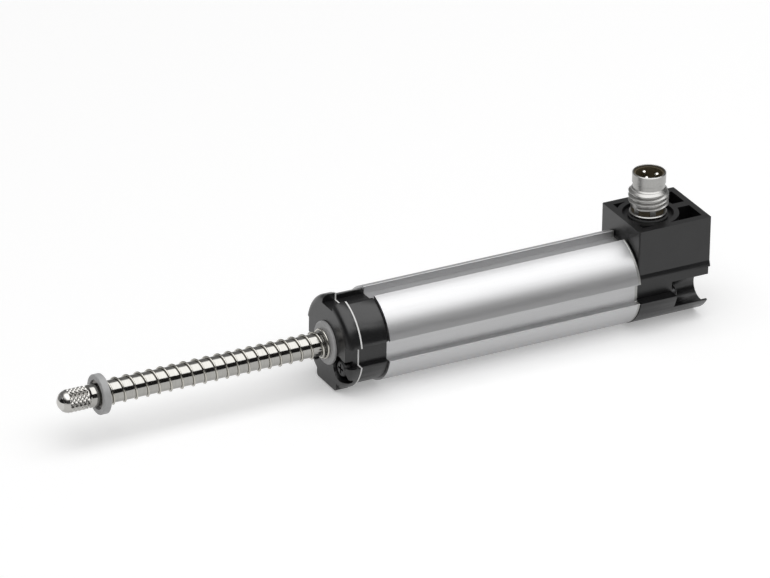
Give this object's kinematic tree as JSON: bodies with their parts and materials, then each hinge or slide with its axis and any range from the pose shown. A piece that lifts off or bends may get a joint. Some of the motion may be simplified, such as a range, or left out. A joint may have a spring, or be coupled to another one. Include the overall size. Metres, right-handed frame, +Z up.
{
  "type": "spring-return linear potentiometer",
  "caption": "Linear position sensor with a grooved tube body, a sprung push rod with a knurled ball tip, and an upright threaded pin connector on a moulded rear block.",
  "frame": {"origin": "on the rod's axis, at the outer face of the front cover", "axes": "+X along the rod from its tip towards the connector end, which is the way the rod is pushed in; +Z up, out of the connector; the viewer of the picture stands on the -Y side"},
  "size_m": [0.1384, 0.0184, 0.0308],
  "materials": {
    "black_moulding": "fine-grained moulded black plastic",
    "white_sheet": "plain white sealing sheet",
    "grey_plastic": "turned grey bearing plastic",
    "seal_rubber": "black rubber",
    "bearing_bronze": "sintered bronze",
    "black_screw": "black oxide steel",
    "satin_aluminium": "satin anodised extrusion",
    "board": "glass-fibre board",
    "track_ink": "conductive plastic track",
    "track_metal": "silver-loaded track",
    "pale_plate": "thin pale sheet",
    "nickel": "bright nickel plate",
    "insert_plastic": "brown-grey contact carrier",
    "contact_gold": "gold plate",
    "lead_metal": "tinned copper",
    "rod_steel": "ground bright steel",
    "ball_steel": "polished hardened steel",
    "spring_steel": "bright spring wire",
    "carriage_plastic": "natural moulded plastic"
  },
  "bodies": {
    "housing": {"front_cover": "black_moulding", "front_gasket": "white_sheet", "front_flange": "black_moulding", "guide_bush": "grey_plastic", "rod_seal": "seal_rubber", "front_bearing": "bearing_bronze", "cover_screws": "black_screw", "housing_tube": "satin_aluminium", "element_board": "board", "resistor_track": "track_ink", "collector_track": "track_metal", "rear_plate": "pale_plate", "rear_housing": "black_moulding", "rear_screws": "black_screw", "connector_sleeve": "nickel", "connector_insert": "insert_plastic", "connector_pins": "contact_gold", "connector_seal": "seal_rubber", "board_leads": "lead_metal", "return_spring": "spring_steel"},
    "plunger": {"rod": "rod_steel", "wiper_carriage": "carriage_plastic", "wiper_contacts": "contact_gold", "carriage_clip": "spring_steel", "spring_collar": "grey_plastic", "collar_clip": "spring_steel", "knurled_tip": "rod_steel", "tip_ball": "ball_steel"}
  },
  "joints": [
    {"name": "rod_slide", "type": "slide", "parent": "housing", "child": "plunger", "axis": [1, 0, 0], "range_m": [0, 0.03], "stiffness_N_per_m": 100, "springref_m": -0.01, "deforming": ["return_spring"]}
  ]
}
